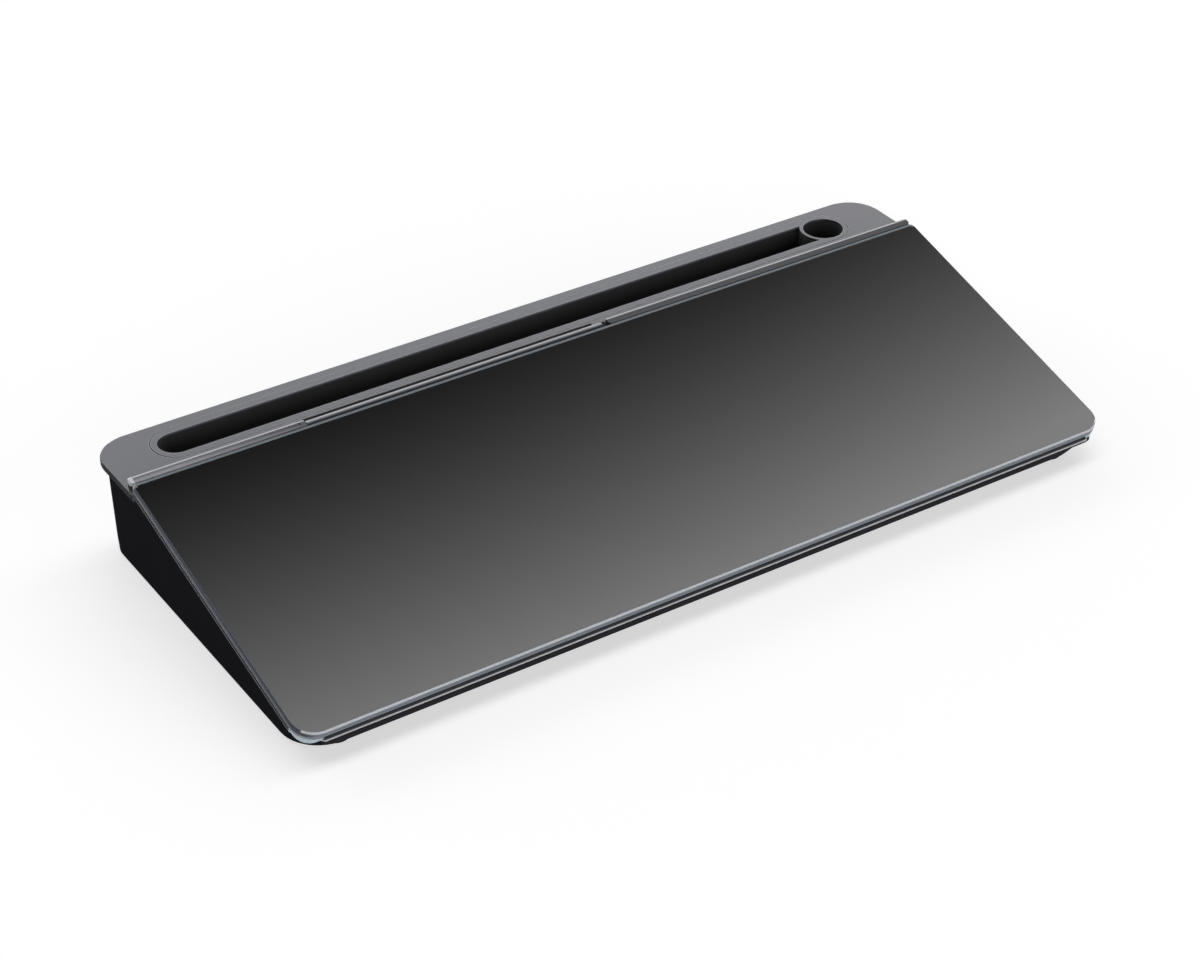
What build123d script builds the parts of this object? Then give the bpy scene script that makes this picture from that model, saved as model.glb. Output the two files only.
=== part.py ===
from build123d import *
import os
from math import cos, radians, sin, sqrt, tan

# Desktop glass whiteboard: a tempered glass board on a wedge-shaped housing, with a
# grey deck behind it that holds a pen trough, a round well and a fold-down stop bar.
# X runs along the board, +Y to the rear, +Z up. The origin is on the desk, in the
# middle of the part. Lengths are in millimetres.

# Glass board. Its width, length and slope drive the rest of the part.
glass_width = 450.0
glass_length = 162.5
glass_thickness = 4.0
glass_front_radius = 12.0
glass_rear_radius = 3.0
glass_arris = 0.7
glass_front_height = 16.3
board_angle = 14.9

# Steel sheet bonded under the glass, and the foam tape under the steel
steel_thickness = 0.5
steel_inset = 0.8
tape_thickness = 0.6
tape_width = 14.0
tape_inset = 9.0

# Housing. Its insets are measured from the sides of the glass, from the front of the
# part and from the rear edge of the deck.
foot_height = 1.3
housing_wall = 2.2
bed_thickness = 2.4
bed_rear_inset = 0.95
bed_step_wall = 2.4
bottom_side_inset = 3.5
bottom_front_inset = 7.0
bottom_rear_inset = 5.0
bottom_front_radius = 20.0
brow_side_inset = 3.0
brow_front_inset = 1.5
brow_height = 9.6
brow_front_radius = 15.0
joint_side_inset = 2.3
joint_rear_inset = 4.5
housing_rear_radius = 14.0
lip_thickness = 1.6
lip_reach = 1.1
shelf_depth = 12.0
shelf_thickness = 2.4

# Bottom cover. Its screws are set in from the edges of the housing's bottom.
cover_thickness = 3.0
cover_clearance = 0.15
cover_boss_radius = 4.0
cover_screw_side_inset = 16.5
cover_screw_end_inset = 29.0

# One size of self-tapping screw is used throughout. Screws, their holes and their posts
# are polygons of this many sides.
screw_sides = 16
screw_radius = 1.2
screw_head_radius = 2.6
screw_head_height = 1.5
screw_length = 8.0
screw_clearance = 0.4
screw_thread_clearance = 0.05
screw_head_sink = 0.2

# Feet, set in from the edges of the housing's bottom
foot_radius = 7.0
foot_side_inset = 20.0
foot_front_margin = 0.5
foot_rear_inset = 17.0
foot_edge = 0.5

# Deck
deck_side_margin = 0.5
deck_lap = 0.75
deck_plate = 2.6
deck_edge_height = 3.0
deck_skirt_height = 6.0
deck_skirt_wall = 2.2
deck_front_wall = 1.9
deck_rear_radius = 18.0
deck_front_radius = 1.0
deck_edge_round = 0.6
deck_boss_radius = 3.4
deck_screw_side_inset = 10.7
deck_screw_rear_inset = 10.5
deck_screw_front = 10.75
deck_screw_inner_x = 85.0

# Ridge along the deck's front edge. The places of its corners are measured from the rear
# edge of the glass, and their heights from the deck.
ridge_end_margin = 1.0
ridge_foot = 1.65
ridge_brow = 0.65
ridge_crest = 4.75
ridge_back = 6.05
ridge_bend_height = 1.5
ridge_shoulder_height = 4.9
ridge_height = 5.5
ridge_crest_radius = 0.9
ridge_end_round = 2.0
panel_margin = 2.5
panel_width = 2.4
panel_place = 2.85

# Stop bar, the recess that it folds into, and its pins
bar_left = -133.9
bar_right = 31.5
bar_front = 1.7
bar_thickness = 2.35
bar_front_height = 5.05
bar_back_height = 5.35
bar_edge_radius = 0.4
bar_end_gap = 0.3
knuckle_radius = 1.3
knuckle_drop = 1.5
knuckle_gap = 0.4
fold_gap = 1.7
recess_depth = 4.6
recess_wall = 1.8
recess_end_block = 7.0
notch_length = 3.2
pin_radius = 0.7
pin_grip = 4.0
pin_reach = 4.5
pin_fit = 0.05
pin_glue_gap = 0.02

# Pen trough and round well in one tray, with the rim plate that frames both
trough_radius = 8.75
trough_depth = 24.0
trough_floor_radius = 5.0
trough_end_margin = 3.5
well_radius = 10.4
well_depth = 36.0
divider_wall = 2.1
tray_wall = 1.3
tray_rear_gap = 0.3
tray_joint_gap = 0.15
rim_margin = 2.9
rim_front_gap = 3.2
rim_side_margin = 24.2
rim_thickness = 1.0
rim_proud = 0.15
rim_edge = 0.3
rim_clearance = 0.2
flange_thickness = 1.0
flange_clearance = 0.3
tray_ledge = 2.2
tray_ledge_overlap = 2.2

# Clear bumpers under the two front corners of the glass
bumper_drop = 3.0
bumper_inset = 0.3

# Length by which a cut or a trimming solid runs past what it cuts
overrun = 20.0

# Depth of the part, added up from front to rear: the glass, the recess of the folded bar,
# the rim plate, and the well's wall with the housing's rear wall behind it
angle = radians(board_angle)
corner_lead = glass_arris * sin(angle)
glass_run = glass_length * cos(angle)
hinge_place = bar_front + bar_thickness / 2
recess_front = hinge_place - knuckle_radius - knuckle_gap
recess_rear = hinge_place + knuckle_drop + bar_back_height + fold_gap
rim_radius = well_radius + rim_margin
tray_place = recess_rear + rim_front_gap + rim_radius
well_to_rear = well_radius + tray_wall + tray_rear_gap + housing_wall + bottom_rear_inset
overall_depth = glass_run - corner_lead + tray_place + well_to_rear
front_y = -overall_depth / 2
rear_y = overall_depth / 2
glass_corner_y = front_y - corner_lead
glass_rear_y = glass_corner_y + glass_run

# Heights: the ridge ends level with the rear edge of the glass
deck_height = glass_front_height + glass_length * sin(angle) - ridge_height
joint_z = deck_height - deck_skirt_height
shelf_z = deck_height - shelf_depth
cover_top = foot_height + cover_thickness
steel_depth = glass_thickness + steel_thickness
bed_depth = steel_depth + tape_thickness

# Widths, and places along the board
deck_width = glass_width + 2 * deck_side_margin
bottom_width = glass_width - 2 * bottom_side_inset
brow_width = glass_width - 2 * brow_side_inset
joint_width = glass_width - 2 * joint_side_inset
ridge_half_length = deck_width / 2 - ridge_end_margin
recess_left = bar_left - bar_end_gap
recess_right = bar_right + bar_end_gap
recess_middle = (recess_left + recess_right) / 2
notch_right = recess_right + notch_length
well_x = deck_width / 2 - rim_side_margin - rim_radius
trough_left_centre = trough_end_margin - well_x - rim_radius + trough_radius
well_wall_radius = well_radius + divider_wall

# Places from front to rear
bottom_front_y = front_y + bottom_front_inset
bottom_rear_y = rear_y - bottom_rear_inset
bottom_middle_y = (bottom_front_y + bottom_rear_y) / 2
brow_front_y = front_y + brow_front_inset
joint_rear_y = rear_y - joint_rear_inset
bed_rear_y = glass_rear_y - bed_rear_inset
deck_front_y = glass_rear_y - deck_lap
ridge_middle_y = glass_rear_y + (ridge_brow + ridge_back) / 2
hinge_y = glass_rear_y + hinge_place
hinge_z = deck_height - knuckle_drop
tray_y = glass_rear_y + tray_place

glass_plane = Plane(
    origin=(0, glass_corner_y, glass_front_height),
    x_dir=(1, 0, 0),
    z_dir=(0, -sin(angle), cos(angle)),
)
steel_plane = glass_plane.offset(-steel_depth)
bed_plane = glass_plane.offset(-bed_depth)
bed_rear_slope = (bed_rear_y - glass_corner_y - bed_depth * sin(angle)) / cos(angle)

# Places of the deck's screws and of the feet. The cover's screws stand in a grid.
deck_screw_outer_x = joint_width / 2 - deck_screw_side_inset
deck_screw_places = [
    (-deck_screw_outer_x, joint_rear_y - deck_screw_rear_inset),
    (deck_screw_outer_x, joint_rear_y - deck_screw_rear_inset),
    (-deck_screw_inner_x, glass_rear_y + deck_screw_front),
    (deck_screw_inner_x, glass_rear_y + deck_screw_front),
]
foot_x = bottom_width / 2 - foot_side_inset
foot_front_y = bottom_front_y + foot_radius + foot_front_margin
foot_rear_y = bottom_rear_y - foot_rear_inset
foot_places = {
    "foot_front_left": (-foot_x, foot_front_y),
    "foot_front_right": (foot_x, foot_front_y),
    "foot_rear_left": (-foot_x, foot_rear_y),
    "foot_rear_right": (foot_x, foot_rear_y),
}
cover_screw_pitch_x = bottom_width - 2 * cover_screw_side_inset
cover_screw_pitch_y = bottom_rear_y - bottom_front_y - 2 * cover_screw_end_inset


def slope_height(y, depth):
    """Height at y of the plane that lies a depth below the glass's top face."""
    return glass_front_height + (y - glass_corner_y) * tan(angle) - depth / cos(angle)


def plan_outline(plane, width, front, rear, front_radius, rear_radius):
    """Rectangle centred on X, from front to rear along the plane's Y, with round corners."""
    with BuildSketch(plane) as plan:
        with Locations((0, (front + rear) / 2)):
            Rectangle(width, rear - front)
        fillet(plan.vertices().group_by(Axis.Y)[0], front_radius)
        fillet(plan.vertices().group_by(Axis.Y)[-1], rear_radius)
    return plan.sketch


def side_profile(points):
    """Closed outline in the plane across the board, from points of Y and Z."""
    with BuildSketch(Plane.YZ) as profile:
        with BuildLine():
            Polyline(*points, close=True)
        make_face()
    return profile.sketch


def tray_slot(plane, growth):
    """Outline of the trough, run on to the middle of the well, grown by a margin."""
    with BuildSketch(plane) as slot:
        with Locations(((trough_left_centre + well_x) / 2, tray_y)):
            SlotCenterToCenter(well_x - trough_left_centre, 2 * (trough_radius + growth))
    return slot.sketch


def well_disc(plane, radius):
    """Disc round the middle of the well."""
    with BuildSketch(plane) as disc:
        with Locations((well_x, tray_y)):
            Circle(radius)
    return disc.sketch


def rim_outline(plane, radius):
    """Stadium round the trough and the well, its right end centred on the well."""
    with BuildSketch(plane) as stadium:
        with Locations((0, tray_y)):
            SlotCenterToCenter(2 * well_x, 2 * radius)
    return stadium.sketch


def cover_screw_discs(plane, radius):
    """A disc at each of the bottom cover's screws."""
    with BuildSketch(plane) as discs:
        with Locations((0, bottom_middle_y)):
            with GridLocations(cover_screw_pitch_x, cover_screw_pitch_y, 2, 2):
                RegularPolygon(radius, screw_sides)
    return discs.sketch


def deck_screw_discs(plane, radius):
    """A disc at each of the deck's screws."""
    with BuildSketch(plane) as discs:
        with Locations(*deck_screw_places):
            RegularPolygon(radius, screw_sides)
    return discs.sketch


# Corner seats: a flat facet under each front corner of the glass. It starts at the chord
# of the corner's arc, just under the steel, and falls away to the corner.
arc_centre_x = glass_width / 2 - glass_front_radius
chord_distance = glass_front_radius / sqrt(2)
facet_run = glass_front_radius - chord_distance
facet_length = sqrt(facet_run**2 + bumper_drop**2)
facet_origin = steel_plane.from_local_coords(
    Vector(
        arc_centre_x + chord_distance / sqrt(2),
        glass_front_radius - chord_distance / sqrt(2),
        0,
    )
)
facet_out = steel_plane.x_dir * (1 / sqrt(2)) - steel_plane.y_dir * (1 / sqrt(2))
facet_normal = steel_plane.z_dir * (facet_run / facet_length) + facet_out * (bumper_drop / facet_length)
facet_plane = Plane(
    origin=facet_origin,
    x_dir=steel_plane.x_dir + steel_plane.y_dir,
    z_dir=facet_normal,
)

with BuildPart() as corner_seat:
    with BuildSketch(steel_plane):
        with Locations((glass_width / 2, 0)):
            Rectangle(2 * glass_front_radius, 2 * glass_front_radius)
    extrude(amount=overrun, both=True)
    split(bisect_by=facet_plane, keep=Keep.TOP)
    mirror(about=Plane.YZ)

with BuildPart() as corner_bumper_right:
    with BuildSketch(steel_plane):
        with Locations((arc_centre_x, glass_front_radius)):
            Circle(glass_front_radius - bumper_inset)
    extrude(amount=-overrun)
    split(bisect_by=facet_plane, keep=Keep.TOP)

with BuildPart() as corner_bumper_left:
    add(corner_bumper_right.part.mirror(Plane.YZ))

# Housing: what its inside leaves free. The bed stays above it, with the shelf behind,
# and the screw posts stand in it.
inner_bottom = plan_outline(
    Plane.XY.offset(foot_height),
    bottom_width - 2 * housing_wall,
    bottom_front_y + housing_wall,
    bottom_rear_y - housing_wall,
    bottom_front_radius - housing_wall,
    housing_rear_radius - housing_wall,
)
inner_brow = plan_outline(
    Plane.XY.offset(brow_height),
    brow_width - 2 * housing_wall,
    brow_front_y + housing_wall,
    bottom_rear_y - housing_wall,
    brow_front_radius - housing_wall,
    housing_rear_radius - housing_wall,
)
inner_joint = plan_outline(
    Plane.XY.offset(joint_z),
    joint_width - 2 * housing_wall,
    brow_front_y + housing_wall,
    joint_rear_y - housing_wall,
    brow_front_radius - housing_wall,
    housing_rear_radius - housing_wall,
)
step_inner_y = bed_rear_y - bed_step_wall
ceiling_depth = bed_depth + bed_thickness
ceiling_points = [
    (front_y, slope_height(front_y, ceiling_depth)),
    (step_inner_y, slope_height(step_inner_y, ceiling_depth)),
    (step_inner_y, shelf_z - shelf_thickness),
    (rear_y, shelf_z - shelf_thickness),
    (rear_y, 0),
    (front_y, 0),
]

with BuildPart() as housing_cavity:
    loft([inner_bottom, inner_brow], ruled=True)
    loft([inner_brow, inner_joint], ruled=True)
    extrude(inner_joint, amount=deck_skirt_height)
    extrude(side_profile(ceiling_points), amount=deck_width, both=True, mode=Mode.INTERSECT)
    extrude(
        cover_screw_discs(Plane.XY.offset(cover_top), cover_boss_radius),
        amount=deck_height,
        mode=Mode.SUBTRACT,
    )

# Housing: a one-piece moulding, open below. Its front and sides lean in towards the desk,
# a thin lip follows the glass on three sides, and its rear part carries the deck.
outer_bottom = plan_outline(
    Plane.XY.offset(foot_height),
    bottom_width,
    bottom_front_y,
    bottom_rear_y,
    bottom_front_radius,
    housing_rear_radius,
)
outer_brow = plan_outline(
    Plane.XY.offset(brow_height),
    brow_width,
    brow_front_y,
    bottom_rear_y,
    brow_front_radius,
    housing_rear_radius,
)
outer_joint = plan_outline(
    Plane.XY.offset(joint_z),
    joint_width,
    brow_front_y,
    joint_rear_y,
    brow_front_radius,
    housing_rear_radius,
)
above_bed_points = [
    (front_y - overrun, slope_height(front_y - overrun, bed_depth)),
    (bed_rear_y, slope_height(bed_rear_y, bed_depth)),
    (bed_rear_y, joint_z),
    (rear_y + overrun, joint_z),
    (rear_y + overrun, deck_height + overrun),
    (front_y - overrun, deck_height + overrun),
]

with BuildPart() as base_housing:
    loft([outer_bottom, outer_brow], ruled=True)
    loft([outer_brow, outer_joint], ruled=True)
    extrude(outer_joint, amount=deck_skirt_height)
    extrude(side_profile(above_bed_points), amount=deck_width, both=True, mode=Mode.SUBTRACT)
    lip = plan_outline(
        bed_plane,
        glass_width,
        -lip_reach,
        bed_rear_slope - lip_thickness * tan(angle),
        glass_front_radius + lip_reach,
        lip_thickness,
    )
    extrude(lip, amount=-lip_thickness)
    deck_well = plan_outline(
        Plane.XY.offset(shelf_z),
        joint_width - 2 * housing_wall,
        bed_rear_y,
        joint_rear_y - housing_wall,
        deck_front_radius,
        housing_rear_radius - housing_wall,
    )
    extrude(deck_well, amount=shelf_depth, mode=Mode.SUBTRACT)
    add(housing_cavity.part, mode=Mode.SUBTRACT)
    add(corner_seat.part, mode=Mode.SUBTRACT)
    # Openings in the shelf for the tray and the deck's screws
    extrude(
        tray_slot(Plane.XY.offset(shelf_z), tray_wall + flange_clearance),
        amount=-shelf_thickness,
        mode=Mode.SUBTRACT,
    )
    extrude(
        well_disc(Plane.XY.offset(shelf_z), well_radius + tray_wall + tray_rear_gap),
        amount=-shelf_thickness,
        mode=Mode.SUBTRACT,
    )
    extrude(
        deck_screw_discs(Plane.XY.offset(shelf_z), screw_radius + screw_clearance),
        amount=-shelf_thickness,
        mode=Mode.SUBTRACT,
    )
    # Pilot holes of the cover's screws
    extrude(
        cover_screw_discs(Plane.XY.offset(cover_top), screw_radius + screw_thread_clearance),
        amount=screw_length,
        mode=Mode.SUBTRACT,
    )

# Bottom cover: a plate inside the housing's walls, flush with their lower edge
cover_margin = housing_wall + cover_clearance

with BuildPart() as bottom_cover:
    cover_plan = plan_outline(
        Plane.XY.offset(foot_height),
        bottom_width - 2 * cover_margin,
        bottom_front_y + cover_margin,
        bottom_rear_y - cover_margin,
        bottom_front_radius - cover_margin,
        housing_rear_radius - cover_margin,
    )
    extrude(cover_plan, amount=cover_thickness)
    extrude(
        cover_screw_discs(Plane.XY.offset(foot_height), screw_head_radius + screw_clearance),
        amount=screw_head_height + screw_head_sink,
        mode=Mode.SUBTRACT,
    )
    extrude(
        cover_screw_discs(Plane.XY.offset(foot_height), screw_radius + screw_clearance),
        amount=cover_thickness,
        mode=Mode.SUBTRACT,
    )

with BuildPart() as cover_screws:
    head_plane = Plane.XY.offset(foot_height + screw_head_sink)
    extrude(cover_screw_discs(head_plane, screw_head_radius), amount=screw_head_height)
    extrude(cover_screw_discs(head_plane, screw_radius), amount=screw_head_height + screw_length)

# Steel sheet, bonded to the whole underside of the glass a little short of its edge
with BuildPart() as steel_backing:
    steel_plan = plan_outline(
        steel_plane,
        glass_width - 2 * steel_inset,
        steel_inset,
        glass_length - steel_inset,
        glass_front_radius - steel_inset,
        glass_rear_radius - steel_inset,
    )
    extrude(steel_plan, amount=steel_thickness)

# Glass: flat, with a ground and polished arris on both faces
with BuildPart() as glass_panel:
    glass_plan = plan_outline(
        glass_plane,
        glass_width,
        0,
        glass_length,
        glass_front_radius,
        glass_rear_radius,
    )
    extrude(glass_plan, amount=-glass_thickness)
    through_glass = Axis(glass_plane.origin, glass_plane.z_dir)
    chamfer(glass_panel.faces().sort_by(through_glass)[0].edges(), glass_arris)
    chamfer(glass_panel.faces().sort_by(through_glass)[-1].edges(), glass_arris)

# Foam tape on the bed: two long strips, and two short ones between them. Each entry is a
# strip's place along the board and up the slope, its width and its length.
tape_rear_edge = bed_rear_slope - tape_inset
tape_middle = (tape_rear_edge + tape_inset) / 2
strip_length = glass_width - 2 * tape_inset
side_x = (strip_length - tape_width) / 2
side_length = tape_rear_edge - tape_inset - 2 * tape_width
tape_places = {
    "tape_front": (0, tape_inset + tape_width / 2, strip_length, tape_width),
    "tape_rear": (0, tape_rear_edge - tape_width / 2, strip_length, tape_width),
    "tape_left": (-side_x, tape_middle, tape_width, side_length),
    "tape_right": (side_x, tape_middle, tape_width, side_length),
}

# Ridge: two stretches in line, with the bar between them. Their ends are round in plan,
# except where the bar carries the ridge on.
ridge_points = [
    (glass_rear_y + ridge_foot, deck_height - deck_plate),
    (glass_rear_y + ridge_foot, deck_height + ridge_bend_height),
    (glass_rear_y + ridge_brow, deck_height + ridge_shoulder_height),
    (glass_rear_y + ridge_crest, deck_height + ridge_height),
    (glass_rear_y + ridge_back, deck_height + ridge_shoulder_height),
    (glass_rear_y + ridge_back, deck_height - deck_plate),
]
ridge_depth = ridge_back - ridge_brow

with BuildPart() as ridge:
    with BuildSketch(Plane.YZ) as ridge_profile:
        with BuildLine():
            Polyline(*ridge_points, close=True)
        make_face()
        fillet(ridge_profile.vertices().group_by(Axis.Y)[-1], ridge_crest_radius)
    extrude(amount=ridge_half_length, both=True)
    with BuildSketch(Plane.XY.offset(deck_height - deck_plate)) as ridge_plan:
        with Locations(((recess_left - ridge_half_length) / 2, ridge_middle_y)):
            Rectangle(ridge_half_length + recess_left, ridge_depth)
        with Locations(((notch_right + ridge_half_length) / 2, ridge_middle_y)):
            Rectangle(ridge_half_length - notch_right, ridge_depth)
        ridge_ends = ridge_plan.vertices().group_by(Axis.X)
        fillet(ridge_ends[0] + ridge_ends[2] + ridge_ends[3], ridge_end_round)
    extrude(amount=overrun, mode=Mode.INTERSECT)

# Deck: a thin moulded plate with a skirt that steps in to meet the housing, the ridge
# along the glass, the recess that the stop bar folds into, and the ledge of the tray
deck_plan = plan_outline(
    Plane.XY.offset(deck_height),
    deck_width,
    deck_front_y,
    rear_y,
    deck_front_radius,
    deck_rear_radius,
)
edge_plan = plan_outline(
    Plane.XY.offset(deck_height - deck_edge_height),
    deck_width,
    deck_front_y,
    rear_y,
    deck_front_radius,
    deck_rear_radius,
)
skirt_plan = plan_outline(
    Plane.XY.offset(joint_z),
    joint_width,
    deck_front_y,
    joint_rear_y,
    deck_front_radius,
    housing_rear_radius,
)
deck_pocket = plan_outline(
    Plane.XY.offset(joint_z),
    joint_width - 2 * deck_skirt_wall,
    deck_front_y + deck_front_wall,
    joint_rear_y - deck_skirt_wall,
    deck_front_radius,
    housing_rear_radius - deck_skirt_wall,
)
recess_box_rear_y = glass_rear_y + recess_rear + recess_wall

with BuildPart() as top_deck:
    extrude(deck_plan, amount=-deck_edge_height)
    fillet(top_deck.faces().sort_by(Axis.Z)[-1].edges().sort_by(Axis.Y)[1:], deck_edge_round)
    loft([edge_plan, skirt_plan], ruled=True)
    extrude(deck_pocket, amount=deck_skirt_height - deck_plate, mode=Mode.SUBTRACT)
    # Box of the recess, with the blocks at its ends that hold the pins
    with BuildSketch(Plane.XY.offset(deck_height - recess_depth - recess_wall)):
        with Locations((recess_middle, (deck_front_y + recess_box_rear_y) / 2)):
            Rectangle(
                recess_right - recess_left + 2 * recess_end_block,
                recess_box_rear_y - deck_front_y,
            )
    extrude(amount=recess_depth + recess_wall - deck_plate)
    # Ledge under the tray's flange
    extrude(
        rim_outline(Plane.XY.offset(deck_height - deck_plate), rim_radius + tray_ledge_overlap),
        amount=-(rim_thickness + flange_thickness + tray_ledge - deck_plate),
    )
    # Posts for the deck's screws
    extrude(deck_screw_discs(Plane.XY.offset(shelf_z), deck_boss_radius), amount=shelf_depth - deck_plate)
    add(ridge.part)
    # Recess that the bar stands in and folds into
    with BuildSketch(Plane.XY.offset(deck_height - recess_depth)):
        with Locations((recess_middle, glass_rear_y + (recess_front + recess_rear) / 2)):
            Rectangle(recess_right - recess_left, recess_rear - recess_front)
    extrude(amount=recess_depth, mode=Mode.SUBTRACT)
    # Shallow panel in the top of the left stretch of ridge
    with BuildSketch(Plane.XY.offset(deck_height + ridge_shoulder_height)):
        with Locations(((recess_left - ridge_half_length) / 2, glass_rear_y + panel_place)):
            SlotOverall(ridge_half_length + recess_left - 2 * panel_margin, panel_width)
    extrude(amount=overrun, mode=Mode.SUBTRACT)
    # Seat of the rim plate and flange, and the opening that the tray hangs through
    extrude(
        rim_outline(Plane.XY.offset(deck_height), rim_radius + rim_clearance),
        amount=-(rim_thickness + flange_thickness),
        mode=Mode.SUBTRACT,
    )
    extrude(
        tray_slot(Plane.XY.offset(deck_height), tray_wall + flange_clearance),
        amount=-shelf_depth,
        mode=Mode.SUBTRACT,
    )
    extrude(
        well_disc(Plane.XY.offset(deck_height), well_radius + tray_wall + flange_clearance),
        amount=-shelf_depth,
        mode=Mode.SUBTRACT,
    )
    # Bearings of the pins, and the screws' pilot holes
    with BuildSketch(Plane.YZ.offset(recess_left - pin_reach)):
        with Locations((hinge_y, hinge_z)):
            Circle(pin_radius + pin_fit)
    extrude(amount=recess_right - recess_left + 2 * pin_reach, mode=Mode.SUBTRACT)
    extrude(
        deck_screw_discs(Plane.XY.offset(shelf_z), screw_radius + screw_thread_clearance),
        amount=screw_length - shelf_thickness,
        mode=Mode.SUBTRACT,
    )

with BuildPart() as deck_screws:
    shelf_underside = Plane.XY.offset(shelf_z - shelf_thickness)
    extrude(deck_screw_discs(shelf_underside, screw_head_radius), amount=-screw_head_height)
    extrude(deck_screw_discs(shelf_underside, screw_radius), amount=screw_length)

# Stop bar: a blade on a round knuckle, upright in the line of the ridge
bar_front_y = glass_rear_y + bar_front
blade_points = [
    (bar_front_y, hinge_z),
    (bar_front_y, deck_height + bar_front_height),
    (bar_front_y + bar_thickness, deck_height + bar_back_height),
    (bar_front_y + bar_thickness, hinge_z),
]

with BuildPart() as stop_bar:
    with BuildSketch(Plane.YZ.offset(bar_left)) as bar_section:
        with BuildLine():
            Polyline(*blade_points, close=True)
        make_face()
        fillet(bar_section.vertices().group_by(Axis.Y)[-1], bar_edge_radius)
        with Locations((hinge_y, hinge_z)):
            Circle(knuckle_radius)
    extrude(amount=bar_right - bar_left)
    with Locations(Plane.YZ.offset(bar_left)):
        with Locations((hinge_y, hinge_z)):
            Hole(pin_radius + pin_glue_gap, depth=bar_right - bar_left)

# Pins: glued into the bar's ends, turning in the deck
pin_starts = {
    "hinge_pin_left": recess_left - pin_reach + pin_fit,
    "hinge_pin_right": bar_right - pin_grip,
}

# Tray: the trough and the well, hung from a flange. The trough's floor is round all along,
# and its right end is the well's wall.
tray_top = Plane.XY.offset(deck_height - rim_thickness)
flange_bottom = tray_top.offset(-flange_thickness)

with BuildPart() as trough_void:
    extrude(tray_slot(tray_top, 0), amount=-(trough_depth - rim_thickness))
    fillet(trough_void.faces().sort_by(Axis.Z)[0].edges(), trough_floor_radius)
    extrude(well_disc(tray_top, well_wall_radius), amount=-trough_depth, mode=Mode.SUBTRACT)

with BuildPart() as pen_tray:
    extrude(rim_outline(tray_top, rim_radius), amount=-flange_thickness)
    extrude(
        tray_slot(flange_bottom, tray_wall),
        amount=-(trough_depth + tray_wall - rim_thickness - flange_thickness),
    )
    extrude(
        well_disc(flange_bottom, well_radius + tray_wall),
        amount=-(well_depth + tray_wall - rim_thickness - flange_thickness),
    )
    add(trough_void.part, mode=Mode.SUBTRACT)
    extrude(well_disc(tray_top, well_radius), amount=-(well_depth - rim_thickness), mode=Mode.SUBTRACT)

# The tray is kept as two pieces, the trough and the well, joined just short of the well's wall
tray_joint = Plane.YZ.offset(well_x - well_wall_radius - tray_joint_gap)

with BuildPart() as tray_trough:
    add(pen_tray.part)
    split(bisect_by=tray_joint, keep=Keep.BOTTOM)

with BuildPart() as tray_well:
    add(pen_tray.part)
    split(bisect_by=tray_joint, keep=Keep.TOP)

# Rim plate: lies on the tray's flange, flush with the deck but for a proud edge
with BuildPart() as tray_rim:
    extrude(rim_outline(tray_top, rim_radius), amount=rim_thickness + rim_proud)
    extrude(
        tray_slot(tray_top, 0) - well_disc(tray_top, well_wall_radius),
        amount=overrun,
        mode=Mode.SUBTRACT,
    )
    extrude(well_disc(tray_top, well_radius), amount=overrun, mode=Mode.SUBTRACT)
    chamfer(tray_rim.faces().sort_by(Axis.Z)[-1].edges(), rim_edge)

# Every piece is written under its own name
os.makedirs("parts", exist_ok=True)

pieces = {
    "base_housing": base_housing,
    "bottom_cover": bottom_cover,
    "cover_screws": cover_screws,
    "steel_backing": steel_backing,
    "glass_panel": glass_panel,
    "corner_bumper_left": corner_bumper_left,
    "corner_bumper_right": corner_bumper_right,
    "top_deck": top_deck,
    "deck_screws": deck_screws,
    "stop_bar": stop_bar,
    "tray_trough": tray_trough,
    "tray_well": tray_well,
    "tray_rim": tray_rim,
}
for name, piece in pieces.items():
    piece.part.label = name
    export_step(piece.part, f"parts/{name}.step")

for name, (x, slope, width, length) in tape_places.items():
    with BuildPart() as tape:
        with BuildSketch(bed_plane):
            with Locations((x, slope)):
                Rectangle(width, length)
        extrude(amount=tape_thickness)
    tape.part.label = name
    export_step(tape.part, f"parts/{name}.step")

for name, start in pin_starts.items():
    with BuildPart() as hinge_pin:
        with BuildSketch(Plane.YZ.offset(start)):
            with Locations((hinge_y, hinge_z)):
                Circle(pin_radius)
        extrude(amount=pin_grip + bar_end_gap + pin_reach - pin_fit)
    hinge_pin.part.label = name
    export_step(hinge_pin.part, f"parts/{name}.step")

# Feet: round pads stuck to the cover
for name, place in foot_places.items():
    with BuildPart() as foot:
        with BuildSketch(Plane.XY):
            with Locations(place):
                Circle(foot_radius)
        extrude(amount=foot_height)
        chamfer(foot.faces().sort_by(Axis.Z)[0].edges(), foot_edge)
    foot.part.label = name
    export_step(foot.part, f"parts/{name}.step")
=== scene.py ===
# %% [markdown]
# # A desktop glass whiteboard
#
# The object is a low writing board for a desk: a sheet of toughened glass on a black
# wedge-shaped housing, with a grey deck behind it that holds a pen trough, a round well
# and a thin bar that folds down. The exact solids come from CAD and are loaded as a frame.
# This lesson gives them their finishes, and remodels the few pieces whose small shapes
# matter to the eye: the glass, the screws and the rubber feet. All lengths are in metres,
# apart from the camera's lens and sensor, which are in millimetres.

from math import cos, pi, radians, sin
from types import SimpleNamespace

import bmesh
import bpy
from mathutils import Matrix, Quaternion, Vector


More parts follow.
